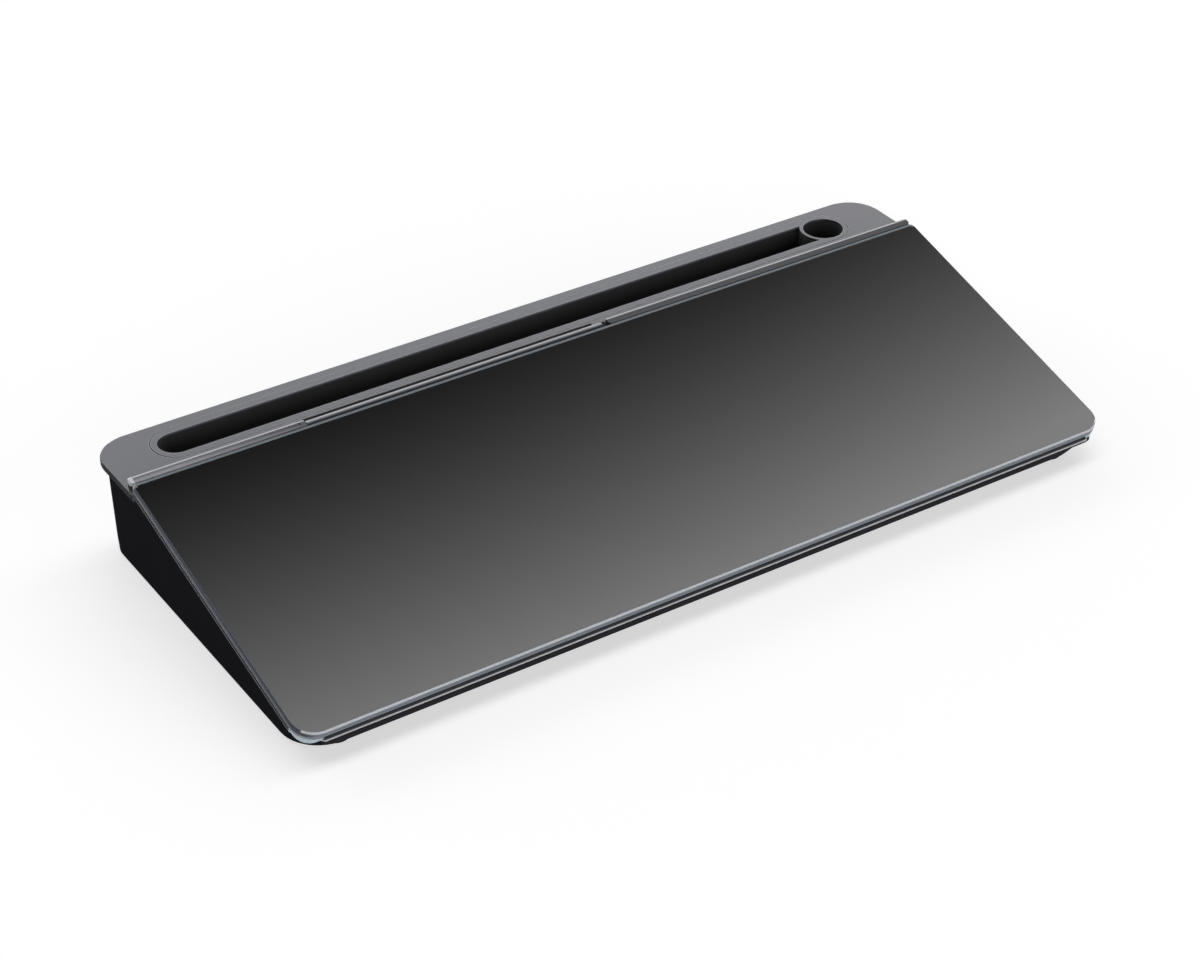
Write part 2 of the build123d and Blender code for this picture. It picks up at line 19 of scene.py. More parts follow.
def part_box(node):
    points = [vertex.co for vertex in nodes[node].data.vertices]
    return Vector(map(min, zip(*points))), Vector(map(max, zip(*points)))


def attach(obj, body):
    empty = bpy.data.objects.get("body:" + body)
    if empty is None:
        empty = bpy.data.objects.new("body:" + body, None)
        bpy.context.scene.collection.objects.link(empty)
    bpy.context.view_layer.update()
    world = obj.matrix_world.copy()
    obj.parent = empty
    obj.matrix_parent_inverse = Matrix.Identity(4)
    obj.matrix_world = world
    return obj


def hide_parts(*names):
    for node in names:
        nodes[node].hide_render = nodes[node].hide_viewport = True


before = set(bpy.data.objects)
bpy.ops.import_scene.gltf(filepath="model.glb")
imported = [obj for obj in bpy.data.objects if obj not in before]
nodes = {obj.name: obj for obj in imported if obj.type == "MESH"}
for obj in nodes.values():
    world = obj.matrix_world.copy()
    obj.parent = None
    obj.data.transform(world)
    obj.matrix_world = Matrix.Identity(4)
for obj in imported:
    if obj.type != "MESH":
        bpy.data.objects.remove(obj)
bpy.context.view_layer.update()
print("pieces in the frame:", len(nodes))

# %% [markdown]
# ## Where the glass lies
#
# The new glass and some of the finishes are placed by the board's slope. The box of the
# glass gives its width and its front edge. Its slope, its length and the height of its
# front edge are the sizes that the CAD model was made with.

# %% Where the glass lies
slope = radians(14.9)
glass_length = 0.1625
glass_front_height = 0.0163
arris = 0.0007
glass_low, glass_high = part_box("glass_panel")
glass_width = glass_high.x - glass_low.x
# Middle of the writing face's front edge, as it would be without the arris
glass_corner = Vector((0, glass_low.y - arris * sin(slope), glass_front_height))
up_the_slope = Vector((0, cos(slope), sin(slope)))
off_the_slope = Vector((0, -sin(slope), cos(slope)))
print("glass is", round(glass_width, 4), "by", glass_length, "m")

# %% [markdown]
# ## Helpers
#
# Colours are written as sRGB hex values, the way a colour picker shows them. Blender's
# shaders work on linear light, so one function converts them. A second one adds a node,
# sets its values and joins its inputs, so that a material reads like a recipe. Most
# materials start empty, take a colour that fine noise moves between two shades, and end in
# one Principled shader, so there is a function for each of those steps.


# %% Colour and node helpers
def linear(hex_colour):
    """Linear colour, with an alpha of 1, from an sRGB hex value such as #7c7d81."""
    shares = [int(hex_colour[i:i + 2], 16) / 255 for i in (1, 3, 5)]
    return (*[s / 12.92 if s <= 0.04045 else ((s + 0.055) / 1.055) ** 2.4 for s in shares], 1.0)


def add(tree, kind, settings=None, links=None):
    """Adds a node, sets its properties and input values, and joins outputs to its inputs."""
    node = tree.nodes.new(kind)
    for name, value in (settings or {}).items():
        if isinstance(name, str) and hasattr(node, name):
            setattr(node, name, value)
        else:
            node.inputs[name].default_value = value
    for name, output in (links or {}).items():
        tree.links.new(output, node.inputs[name])
    return node


def product(tree, *factors):
    """Multiplies the first outputs of nodes."""
    result = factors[0]
    for factor in factors[1:]:
        result = add(tree, "ShaderNodeMath", {"operation": "MULTIPLY"},
                     {0: result.outputs[0], 1: factor.outputs[0]})
    return result


def start_material(name):
    """An empty node material, and its tree."""
    material = bpy.data.materials.new(name)
    material.use_nodes = True
    material.node_tree.nodes.clear()
    return material, material.node_tree


def mottled(tree, dark, light, scale, detail):
    """Fine noise, and a colour that follows it between dark and light."""
    place = add(tree, "ShaderNodeTexCoord")
    noise = add(tree, "ShaderNodeTexNoise", {"Scale": scale, "Detail": detail},
                {"Vector": place.outputs["Object"]})
    tone = add(tree, "ShaderNodeMix", {"data_type": "RGBA", 6: linear(dark), 7: linear(light)},
               {0: noise.outputs["Fac"]})
    return noise, tone


def end_material(tree, settings, links):
    """Gives a material its Principled shader."""
    surface = add(tree, "ShaderNodeBsdfPrincipled", settings, links)
    add(tree, "ShaderNodeOutputMaterial", links={"Surface": surface.outputs[0]})


def dress(node_names, material):
    """Gives CAD nodes a material."""
    for name in node_names:
        slots = nodes[name].material_slots
        for slot in slots:
            slot.material = material
        print(name, "gets", material.name, "in", len(slots), "slot(s)")


# %% [markdown]
# ## Camera
#
# The camera stands where the photograph was taken from. Its place, direction and lens were
# solved from the edges of the glass and the deck in the picture: to the front left, about
# 34 degrees above the desk, with a lens of about 83 mm on a sensor 36 mm wide.

# %% Camera
camera_place = Vector((-0.619311, -0.927202, 0.758647))
camera_direction = Vector((0.457098, 0.692441, -0.558200))
camera_roll = radians(0.140)
camera_data = bpy.data.cameras.new("camera")
camera_data.lens = 83.138
camera_data.sensor_width = 36.0
camera = bpy.data.objects.new("camera", camera_data)
bpy.context.scene.collection.objects.link(camera)
camera_turn = camera_direction.to_track_quat("-Z", "Y") @ Quaternion((0, 0, 1), camera_roll)
camera.matrix_world = Matrix.LocRotScale(camera_place, camera_turn, None)
bpy.context.scene.camera = camera
print("camera is", round(camera_place.length, 3), "m from the part")

# %% [markdown]
# ## Light
#
# Black glass has hardly a colour of its own: what the eye reads is the room in it. The
# smooth fade from light grey at the front to black at the rear is the soft edge of one long
# softbox overhead. It is drawn into the world, as a band across the sky whose rear edge
# falls off slowly. A lower softbox stands behind the board and draws the bright lines along
# the deck's edges, which painted highlights on the mouldings make stronger, and a weaker one
# stands in front. Together with a dim room they give a level surface a light of about 1, so
# a colour renders about as it is written. The camera itself sees plain white instead of that
# room, as in the picture.

# %% World with softboxes
world = bpy.data.worlds.new("studio")
bpy.context.scene.world = world
world.use_nodes = True
tree = world.node_tree
tree.nodes.clear()
direction = add(tree, "ShaderNodeTexCoord")
axes = add(tree, "ShaderNodeSeparateXYZ", links={0: direction.outputs["Generated"]})
# The band runs along X, turned a little: across is a direction's place from front to rear
band_turn = 0.13
across = add(tree, "ShaderNodeMath", {"operation": "MULTIPLY_ADD", 1: band_turn},
             {0: axes.outputs["X"], 2: axes.outputs["Y"]})

# Each softbox is a product of ramps. A ramp runs over one coordinate of the direction, from
# the place where it is dark to the place where it has its full light.
ramps = {}
for ramp, source, dark_place, full_place, light in (
    ("band_front", across.outputs[0], -0.02, 0.07, 1.0),
    ("band_left", axes.outputs["X"], -0.75, -0.25, 1.0),
    ("band_height", axes.outputs["Z"], 0.30, 0.55, 1.0),
    ("box_bottom", axes.outputs["Z"], 0.02, 0.08, 1.0),
    ("box_top", axes.outputs["Z"], 0.55, 0.40, 1.0),
    ("rear_box", axes.outputs["Y"], 0.48, 0.68, 3.0),
    ("front_box", axes.outputs["Y"], -0.48, -0.68, 1.7),
    # The room is darker just behind the band, where the glass looks black
    ("room_rear", across.outputs[0], 0.38, 0.75, 0.25),
    ("room_low", axes.outputs["Z"], 0.55, 0.30, 0.25),
):
    ramps[ramp] = add(tree, "ShaderNodeMapRange",
                      {"interpolation_type": "SMOOTHSTEP", "From Min": dark_place,
                       "From Max": full_place, "To Max": light},
                      {"Value": source})
# The rear edge of the band falls off as the glass shows it in the photograph: the square
# root of its light falls evenly
rear_edge = add(tree, "ShaderNodeMapRange",
                {"From Min": 0.3345, "From Max": 0.4405, "To Min": 1.94, "To Max": 0.33},
                {"Value": across.outputs[0]})
rear_fade = add(tree, "ShaderNodeMath", {"operation": "POWER", 1: 2.0}, {0: rear_edge.outputs[0]})
room = add(tree, "ShaderNodeMath", {"operation": "MAXIMUM"},
           {0: ramps["room_rear"].outputs[0], 1: ramps["room_low"].outputs[0]})
# However dark a corner of the room is, this much light comes from it
least_light = 0.03
total = add(tree, "ShaderNodeMath", {"operation": "ADD", 1: least_light}, {0: room.outputs[0]})
for softbox in (
    product(tree, rear_fade, ramps["band_front"], ramps["band_left"], ramps["band_height"]),
    product(tree, ramps["rear_box"], ramps["box_bottom"], ramps["box_top"]),
    product(tree, ramps["front_box"], ramps["box_bottom"], ramps["box_top"]),
):
    total = add(tree, "ShaderNodeMath", {"operation": "ADD"},
                {0: total.outputs[0], 1: softbox.outputs[0]})
studio = add(tree, "ShaderNodeBackground", links={"Strength": total.outputs[0]})
# Seen straight on or through the glass, the backdrop is white
white = add(tree, "ShaderNodeBackground", {"Color": (1, 1, 1, 1), "Strength": 1.0})
path = add(tree, "ShaderNodeLightPath")
direct = add(tree, "ShaderNodeMath", {"operation": "MAXIMUM"},
             {0: path.outputs["Is Camera Ray"], 1: path.outputs["Is Transmission Ray"]})
seen = add(tree, "ShaderNodeMixShader",
           links={0: direct.outputs[0], 1: studio.outputs[0], 2: white.outputs[0]})
add(tree, "ShaderNodeOutputWorld", links={"Surface": seen.outputs[0]})
print("world nodes:", len(tree.nodes))

# %% [markdown]
# ## Floor
#
# The photograph has a plain white ground, and hardly any light comes up from it. So the
# floor is a pale grey sheet, and what is missing to white is added only for the eye and for
# what is seen in or through the glass. It keeps the soft shadow that makes the object stand
# on something.

# %% Floor
floor_reach = 6.0
floor_mesh = bpy.data.meshes.new("floor")
floor_corners = [(sx * floor_reach, sy * floor_reach, 0)
                 for sx, sy in ((-1, -1), (1, -1), (1, 1), (-1, 1))]
floor_mesh.from_pydata(floor_corners, [], [(0, 1, 2, 3)])
floor = bpy.data.objects.new("floor", floor_mesh)
bpy.context.scene.collection.objects.link(floor)
floor_white, tree = start_material("matt_pale_paper")
paper = add(tree, "ShaderNodeBsdfDiffuse", {"Color": linear("#bcbcbc")})
glow = add(tree, "ShaderNodeEmission", {"Strength": 0.6})
nothing = add(tree, "ShaderNodeEmission", {"Strength": 0.0})
path = add(tree, "ShaderNodeLightPath")
through = add(tree, "ShaderNodeMath", {"operation": "MAXIMUM"},
              {0: path.outputs["Is Glossy Ray"], 1: path.outputs["Is Transmission Ray"]})
seen = add(tree, "ShaderNodeMath", {"operation": "MAXIMUM"},
           {0: path.outputs["Is Camera Ray"], 1: through.outputs[0]})
lift = add(tree, "ShaderNodeMixShader",
           links={0: seen.outputs[0], 1: nothing.outputs[0], 2: glow.outputs[0]})
sheet = add(tree, "ShaderNodeAddShader", links={0: paper.outputs[0], 1: lift.outputs[0]})
add(tree, "ShaderNodeOutputMaterial", links={"Surface": sheet.outputs[0]})
floor_mesh.materials.append(floor_white)
print("floor is", 2 * floor_reach, "m wide")

# %% [markdown]
# ## ABS and what is painted on it
#
# The deck, the housing and the tray are moulded in ABS. Their steel moulds were
# spark-eroded, which leaves a fine even grain, so the surface is satin: it shows a broad
# soft sheen and no sharp reflection. The real grain is about 0.05 mm, too fine to show, so
# it is drawn about ten times as coarse and kept shallow. Moulded edges are never
# razor-sharp, and a bevel of the shading rounds them by a few tenths of a millimetre.
#
# A finish starts as plain grained ABS. Then masks pick out places of the moulding, by where
# they lie and which way they face, and a colour is laid over the plain one there: mostly
# painted shade and painted highlights.


# %% ABS and what is painted on it
def start_abs(name, colour, roughness, grain, depth, edge, specular):
    """Plain grained ABS that can be painted. Grain, depth and edge are in metres."""
    material, tree = start_material(name)
    place = add(tree, "ShaderNodeTexCoord")
    grains = add(tree, "ShaderNodeTexNoise", {"Scale": 1 / grain, "Detail": 2.0},
                 {"Vector": place.outputs["Object"]})
    rounded = add(tree, "ShaderNodeBevel", {"samples": 6, "Radius": edge})
    bump = add(tree, "ShaderNodeBump", {"Strength": 0.35, "Distance": depth},
               {"Height": grains.outputs["Fac"], "Normal": rounded.outputs[0]})
    # A slow cloud makes the colour and the sheen a little uneven
    cloud = add(tree, "ShaderNodeTexNoise", {"Scale": 45.0, "Detail": 3.0},
                {"Vector": place.outputs["Object"]})
    shine = add(tree, "ShaderNodeMapRange",
                {"From Min": 0.3, "From Max": 0.7,
                 "To Min": roughness - 0.03, "To Max": roughness + 0.03},
                {"Value": cloud.outputs["Fac"]})
    base = linear(colour)
    darker = tuple(0.94 * part for part in base[:3]) + (1.0,)
    tone = add(tree, "ShaderNodeMix", {"data_type": "RGBA", 6: darker, 7: base},
               {0: cloud.outputs["Fac"]})
    return SimpleNamespace(material=material, tree=tree, place=place, bump=bump, tone=tone,
                           shine=shine, colour=colour, roughness=roughness, edge=edge,
                           specular=specular)


def locate(look):
    """Adds what masks are made from: where a spot lies, how it faces and how far sideways."""
    look.spot = add(look.tree, "ShaderNodeSeparateXYZ", links={0: look.place.outputs["Object"]})
    look.geometry = add(look.tree, "ShaderNodeNewGeometry")
    look.normal = add(look.tree, "ShaderNodeSeparateXYZ",
                      links={0: look.geometry.outputs["True Normal"]})
    look.sideways = add(look.tree, "ShaderNodeMath", {"operation": "ABSOLUTE"},
                        {0: look.normal.outputs["X"]})


def paint(look, mask, colour, roughness=None):
    """Lays a colour over the finish where the mask is 1, and may change the roughness there."""
    look.tone = add(look.tree, "ShaderNodeMix", {"data_type": "RGBA", 7: linear(colour)},
                    {0: mask.outputs[0], 6: look.tone.outputs[2]})
    if roughness is not None:
        look.shine = add(look.tree, "ShaderNodeMath",
                         {"operation": "MULTIPLY_ADD", 1: roughness - look.roughness},
                         {0: mask.outputs[0], 2: look.shine.outputs[0]})


def paint_side_shade(look, colour):
    """Paints shade on walls facing left or right; their coarser grain makes them more matt."""
    away = add(look.tree, "ShaderNodeMapRange", {"From Min": 0.35, "From Max": 0.7},
               {"Value": look.sideways.outputs[0]})
    paint(look, away, colour, roughness=0.9)


def end_abs(look):
    """Closes the finish and gives its material."""
    end_material(look.tree, {"IOR": 1.52, "Specular IOR Level": look.specular},
                 {"Base Color": look.tone.outputs[2], "Roughness": look.shine.outputs[0],
                  "Normal": look.bump.outputs[0]})
    return look.material


# %% [markdown]
# ## Grey ABS of the deck
#
# The deck, its ridge, the bar and the rim plate are mid-grey. Their level edges get a
# painted highlight, a thin pale line. The ridge and the bar get painted shade on the face
# that they turn to the user and a painted highlight along the crest. Towards the left end of
# the board they are painted lighter, where more light falls. Behind the bar and beside it lie
# hollows that the light hardly reaches. The white surroundings would fill them all the same,
# so their dark is painted. Walls that face left or right get painted shade.

# %% Painted highlights and painted shade on the deck
# The ridge and the bar stand about 5.5 mm over the deck, and their top 2.2 mm are striped
# with painted shade and a painted highlight
ridge_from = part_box("top_deck")[1].z - 0.0022
# The upper rear edge of the glass lies 1 mm in front of its lower one, where its box ends
glass_rear = glass_high.y - 0.001
# Colour of the painted highlight along the ridge's crest
crest_highlight = "#bbbcc0"
# Left, right, front and rear of each hollow that gets painted shade: the slit that shows
# over the bar, the notch for a fingertip at the bar's right end, and the pocket behind the notch
hollows = (
    (-0.1342, 0.0317, 0.0662, 0.0681),
    (0.0317, 0.0352, 0.0540, 0.0612),
    (0.0317, 0.0385, 0.0612, 0.0660),
)


def stripe_ridge(look, crest, brow_shade, high):
    """Paints what is high from front to rear: painted shade on the brow, a painted highlight on
    the crest, and plain deck. Crest is the place in Y where the highlight starts."""
    tree = look.tree
    # The ramp is twice this long, so one hundredth of it is 0.08 mm, and the crest starts
    # just past its middle
    reach = 0.004
    along = add(tree, "ShaderNodeMapRange", {"From Min": crest - reach, "From Max": crest + reach},
                {"Value": look.spot.outputs["Y"]})
    stripes = add(tree, "ShaderNodeValToRGB", links={0: along.outputs[0]})
    steps = stripes.color_ramp.elements
    steps[0].position, steps[0].color = 0.44, linear(brow_shade)
    steps[1].position, steps[1].color = 0.51, linear(crest_highlight)
    for position, shade in ((0.60, crest_highlight), (0.66, look.colour)):
        steps.new(position).color = linear(shade)
    # Painted light: towards the left end of the board the ridge is painted lighter, where more
    # light falls on it
    leftward = add(tree, "ShaderNodeMapRange",
                   {"From Min": -0.12, "From Max": -0.20, "To Max": 0.5},
                   {"Value": look.spot.outputs["X"]})
    ridge = add(tree, "ShaderNodeMix", {"data_type": "RGBA", 7: linear("#b9bac0")},
                {0: leftward.outputs[0], 6: stripes.outputs["Color"]})
    look.tone = add(tree, "ShaderNodeMix", {"data_type": "RGBA"},
                    {0: high.outputs[0], 6: look.tone.outputs[2], 7: ridge.outputs[2]})


def paint_edge_highlights(look):
    """Paints a pale highlight along the level edges below the ridge."""
    tree = look.tree
    # An edge is where the normal of a rounded shape parts from the true one
    wide_bevel = add(tree, "ShaderNodeBevel", {"samples": 6, "Radius": 2 * look.edge})
    turned_by = add(tree, "ShaderNodeVectorMath", {"operation": "DOT_PRODUCT"},
                    {0: wide_bevel.outputs[0], 1: look.geometry.outputs["True Normal"]})
    edge_highlight = add(tree, "ShaderNodeMapRange", {"From Min": 0.995, "From Max": 0.93},
                 {"Value": turned_by.outputs["Value"]})
    level = add(tree, "ShaderNodeMapRange", {"From Min": 0.5, "From Max": 0.8},
                {"Value": look.normal.outputs["Z"]})
    low = add(tree, "ShaderNodeMath", {"operation": "LESS_THAN", 1: ridge_from},
              {0: look.spot.outputs["Z"]})
    paint(look, product(tree, edge_highlight, level, low), "#d0d1d6")


def paint_hollow_shade(look):
    """Paints shade into the hollows, nearly black, and makes them matt."""
    for left, right, front, rear in hollows:
        within = [add(look.tree, "ShaderNodeMath",
                      {"operation": "COMPARE", 1: (start + end) / 2, 2: (end - start) / 2},
                      {0: look.spot.outputs[axis]})
                  for axis, start, end in (("X", left, right), ("Y", front, rear))]
        paint(look, product(look.tree, *within), "#060607", roughness=0.96)


def grey_moulding(name, crest, brow_shade):
    """Grey ABS with painted shade and highlights. Crest is the place in Y where the painted
    highlight on the ridge's crest starts, and brow_shade is the painted shade on the face in
    front of it."""
    look = start_abs(name, "#6c6d73", roughness=0.40, grain=0.0004, depth=0.00003,
                     edge=0.00025, specular=0.42)
    locate(look)
    high = add(look.tree, "ShaderNodeMath", {"operation": "GREATER_THAN", 1: ridge_from},
               {0: look.spot.outputs["Z"]})
    stripe_ridge(look, crest, brow_shade, high)
    paint_edge_highlights(look)
    paint_hollow_shade(look)
    paint_side_shade(look, "#141416")
    # Painted highlight where the light wraps round the left end of the ridge
    left_end = add(look.tree, "ShaderNodeMath", {"operation": "LESS_THAN", 1: -0.2223},
                   {0: look.spot.outputs["X"]})
    paint(look, product(look.tree, left_end, high), "#d0d1d5")
    return end_abs(look)


# %% Grey ABS
# The bar is thinner than the ridge, so its crest starts nearer to the glass, and the
# painted shade on its face is lighter
grey_abs = grey_moulding("grey_moulded_abs", crest=glass_rear + 0.0045, brow_shade="#3e3f44")
dress(["top_deck", "tray_rim"], grey_abs)
bar_abs = grey_moulding("grey_moulded_abs_bar", crest=glass_rear + 0.0030, brow_shade="#5e5f64")
dress(["stop_bar"], bar_abs)

# %% [markdown]
# ## Black ABS of the housing
#
# The housing, its cover and the pen tray are black ABS with a coarser grain, so they look
# matt and swallow the light. The grain is drawn at 0.6 mm, and the sheen is kept weak. Walls
# that face left or right get painted shade. The housing's thin lip gets a painted highlight:
# a bright line on its outer edge and wall, strongest in front, and a lighter grey on its top.
# The tray is a moulding of its own, a lighter grey and a little glossier, so its walls show
# soft grey reflections.

# %% Painted highlight on the lip
# The lip stands 1.1 mm out from the glass, all along its front and its sides. Its top and
# its front are measured from the origin, square to the slope and along it.
lip_reach = 0.0011
lip_top = 0.03692
lip_front = glass_corner.dot(up_the_slope) - lip_reach
lip_side = glass_high.x + lip_reach


def paint_lip_highlight(look):
    """Paints the lip's highlight: grey on its top, white on its rim and wall, most in front."""
    tree = look.tree
    place = look.place.outputs["Object"]
    height = add(tree, "ShaderNodeVectorMath", {"operation": "DOT_PRODUCT", 1: off_the_slope},
                 {0: place})
    length = add(tree, "ShaderNodeVectorMath", {"operation": "DOT_PRODUCT", 1: up_the_slope},
                 {0: place})
    front_rim = add(tree, "ShaderNodeMath", {"operation": "LESS_THAN", 1: lip_front + 0.0006},
                    {0: length.outputs["Value"]})
    out = add(tree, "ShaderNodeMath", {"operation": "ABSOLUTE"}, {0: look.spot.outputs["X"]})
    side_rim = add(tree, "ShaderNodeMath", {"operation": "GREATER_THAN", 1: lip_side - 0.0003},
                   {0: out.outputs[0]})
    rim = add(tree, "ShaderNodeMath", {"operation": "MAXIMUM"},
              {0: front_rim.outputs[0], 1: side_rim.outputs[0]})
    highlight_share = add(tree, "ShaderNodeMapRange",
                  {"From Min": 0.35, "From Max": 0.7, "To Min": 1.0, "To Max": 0.35},
                  {"Value": look.sideways.outputs[0]})
    top = add(tree, "ShaderNodeMath", {"operation": "COMPARE", 1: lip_top, 2: 0.00008},
              {0: height.outputs["Value"]})
    wall = add(tree, "ShaderNodeMath", {"operation": "COMPARE", 1: lip_top - 0.0002, 2: 0.0002},
               {0: height.outputs["Value"]})
    paint(look, top, "#5e5f64")
    paint(look, product(tree, top, rim), "#ffffff")
    paint(look, product(tree, wall, highlight_share), "#ffffff")


# %% Black ABS
housing_look = start_abs("black_moulded_abs", "#2a2a30", roughness=0.62, grain=0.0006,
                         depth=0.00004, edge=0.00045, specular=0.012)
locate(housing_look)
paint_side_shade(housing_look, "#1d1d20")
paint_lip_highlight(housing_look)
dress(["base_housing", "bottom_cover"], end_abs(housing_look))
tray_look = start_abs("black_satin_abs", "#444446", roughness=0.36, grain=0.0006,
                      depth=0.00003, edge=0.0003, specular=0.4)
dress(["tray_trough", "tray_well"], end_abs(tray_look))

# %% [markdown]
# ## Hidden layers
#
# Under the glass lie a black-coated steel sheet, which lets magnets hold, and strips of
# closed-cell foam tape. Only their edges could ever be seen. The sheet's coat was sprayed
# and baked, which leaves it faintly dimpled. The screws and the bar's pins are zinc-plated
# steel, whose crystals give patches of a slightly different shine.

# %% Coated steel
coated_steel, tree = start_material("black_coated_steel")
place = add(tree, "ShaderNodeTexCoord")
orange_peel = add(tree, "ShaderNodeTexNoise", {"Scale": 700.0, "Detail": 2.0},
                  {"Vector": place.outputs["Object"]})
bump = add(tree, "ShaderNodeBump", {"Strength": 0.2, "Distance": 0.00002},
           {"Height": orange_peel.outputs["Fac"]})
end_material(tree, {"Base Color": linear("#17171a"), "Roughness": 0.38},
             {"Normal": bump.outputs[0]})
dress(["steel_backing"], coated_steel)

# %% Foam tape
foam, tree = start_material("closed_cell_foam")
place = add(tree, "ShaderNodeTexCoord")
cells = add(tree, "ShaderNodeTexVoronoi", {"Scale": 1400.0}, {"Vector": place.outputs["Object"]})
bump = add(tree, "ShaderNodeBump", {"Strength": 0.5, "Distance": 0.0001},
           {"Height": cells.outputs["Distance"]})
tone = add(tree, "ShaderNodeMix",
           {"data_type": "RGBA", 6: linear("#bcbab2"), 7: linear("#d3d1ca")},
           {0: cells.outputs["Distance"]})
end_material(tree, {"Roughness": 0.9}, {"Base Color": tone.outputs[2], "Normal": bump.outputs[0]})
dress(["tape_front", "tape_rear", "tape_left", "tape_right"], foam)

# %% Zinc-plated steel
zinc, tree = start_material("zinc_plated_steel")
spangle, tone = mottled(tree, "#b9bcc2", "#d2d3d4", 900.0, 3.0)
shine = add(tree, "ShaderNodeMapRange", {"To Min": 0.24, "To Max": 0.42},
            {"Value": spangle.outputs["Fac"]})
end_material(tree, {"Metallic": 1.0},
             {"Base Color": tone.outputs[2], "Roughness": shine.outputs[0]})
dress(["deck_screws", "hinge_pin_left", "hinge_pin_right"], zinc)

# %% [markdown]
# ## Clear bumpers
#
# Two small wedges of clear silicone sit under the front corners of the glass. Silicone is
# never quite clear: it scatters a little, so against the black housing it shows a pale
# bluish white. Its surface is soft and satin.

# %% Clear silicone
silicone, tree = start_material("clear_silicone")
tone = mottled(tree, "#dceefb", "#ecf7ff", 260.0, 2.0)[1]
end_material(tree, {"IOR": 1.41, "Roughness": 0.3}, {"Base Color": tone.outputs[2]})
dress(["corner_bumper_left", "corner_bumper_right"], silicone)

# %% [markdown]
# ## Glass
#
# The board is 4 mm soda-lime glass, toughened, with its edges ground and its sharp corners
# taken off by two narrow slanted arrises. A loop of points for each step of that edge
# profile makes one closed body. The CAD solid gives the size, and the profile adds the small
# rounds between face, arris and edge, which catch the light as thin lines.

# %% Outline of the glass
front_radius = 0.012
rear_radius = 0.003
glass_frame = Matrix((
    (1, 0, 0, 0),
    (0, cos(slope), -sin(slope), glass_corner.y),
    (0, sin(slope), cos(slope), glass_corner.z),
    (0, 0, 0, 1),
))


def sheet_outline(inset, depth):
    """Points round the sheet at a depth under its top face, moved in from its outline."""
    points = []
    for side, centre_y, radius, start, steps in (
        (1, front_radius, front_radius, -pi / 2, 20),
        (1, glass_length - rear_radius, rear_radius, 0, 10),
        (-1, glass_length - rear_radius, rear_radius, pi / 2, 10),
        (-1, front_radius, front_radius, pi, 20),
    ):
        centre_x = side * (glass_width / 2 - radius)
        for i in range(steps + 1):
            angle = start + pi / 2 * i / steps
            points.append(Vector((centre_x + (radius - inset) * cos(angle),
                                  centre_y + (radius - inset) * sin(angle), -depth)))
    return points


# Inset and depth of each step of the edge, from the writing face down to the underside
edge_profile = [
    (0.0020, 0.0), (0.00076, 0.0), (0.00060, 0.00010), (0.00010, 0.00060), (0.0, 0.00076),
    (0.0, 0.00290), (0.00014, 0.00340), (0.00060, 0.00390), (0.00076, 0.00398),
]
outlines = [sheet_outline(*step) for step in edge_profile]
print("points in an outline:", len(outlines[0]))

# %% Glass body
# Finish of each step down the profile, along the front, left, rear and right edges. Only
# the front keeps the near-white arris on top: the left takes the edge's finish with its
# painted shade, the rear the painted grey border, and the right a painted shade.
BORDER, ARRIS, EDGE, COAT, FACE, SHADE = range(6)
front_finish = [FACE, ARRIS, ARRIS, ARRIS, EDGE, ARRIS, ARRIS, ARRIS]
left_finish = [FACE, EDGE, EDGE, EDGE, EDGE, ARRIS, ARRIS, ARRIS]
rear_finish = [BORDER, BORDER, BORDER, BORDER, EDGE, ARRIS, ARRIS, ARRIS]
right_finish = [FACE, SHADE, SHADE, SHADE, EDGE, ARRIS, ARRIS, ARRIS]
# A piece of the outline this near to the rear, left or right edge takes the finish of that
# edge. The front's finish runs round the front corners, the second distance up the slope.
edge_reach = 0.004
corner_reach = 0.006
sheet_mesh = bmesh.new()
loops = [[sheet_mesh.verts.new(glass_frame @ p) for p in outline] for outline in outlines]
for step, (upper, lower) in enumerate(zip(loops, loops[1:])):
    for i in range(len(upper)):
        j = (i + 1) % len(upper)
        face = sheet_mesh.faces.new((lower[i], lower[j], upper[j], upper[i]))
        middle = (outlines[0][i] + outlines[0][j]) / 2
        finish = front_finish
        if middle.y > glass_length - edge_reach:
            finish = rear_finish
        elif middle.x > glass_width / 2 - edge_reach and middle.y > corner_reach:
            finish = right_finish
        elif middle.x < edge_reach - glass_width / 2 and middle.y > corner_reach:
            finish = left_finish
        face.material_index = finish[step]
        face.smooth = True
bottom_face = sheet_mesh.faces.new(list(reversed(loops[-1])))
bottom_face.material_index = COAT
writing_face = sheet_mesh.faces.new(loops[0])
writing_face.material_index = FACE
glass_mesh = bpy.data.meshes.new("glass_board")
sheet_mesh.to_mesh(glass_mesh)
sheet_mesh.free()
glass_mesh.set_sharp_from_angle(angle=radians(30))
glass_board = bpy.data.objects.new("glass_board", glass_mesh)
bpy.context.scene.collection.objects.link(glass_board)
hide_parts("glass_panel")
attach(glass_board, "base")
print("glass points:", len(glass_mesh.vertices))

# %% [markdown]
# ## Finishes of the glass
#
# Polished glass is as smooth as a liquid, with an IOR of 1.52. The coat is a black enamel
# that wets the glass, so no second reflection comes from it, and every view through the
# writing face ends on black. So the face is drawn as what it looks like: black with the
# clear gloss of glass on it. Along the rear edge the view runs past the coat into the ground
# edge, and the border there is the same gloss over a painted neutral grey, which stands in
# for the lit ground edge seen through the glass.
#
# The ground edge itself is frosted by the wheel: light enters and leaves it in all
# directions, and part of it comes straight back as a pale blue-grey. Where it faces left it
# is painted darker, painted shade. The front arris catches the light from above and shows
# almost white. The right one gets a painted shade of its own, a dark grey without sheen.


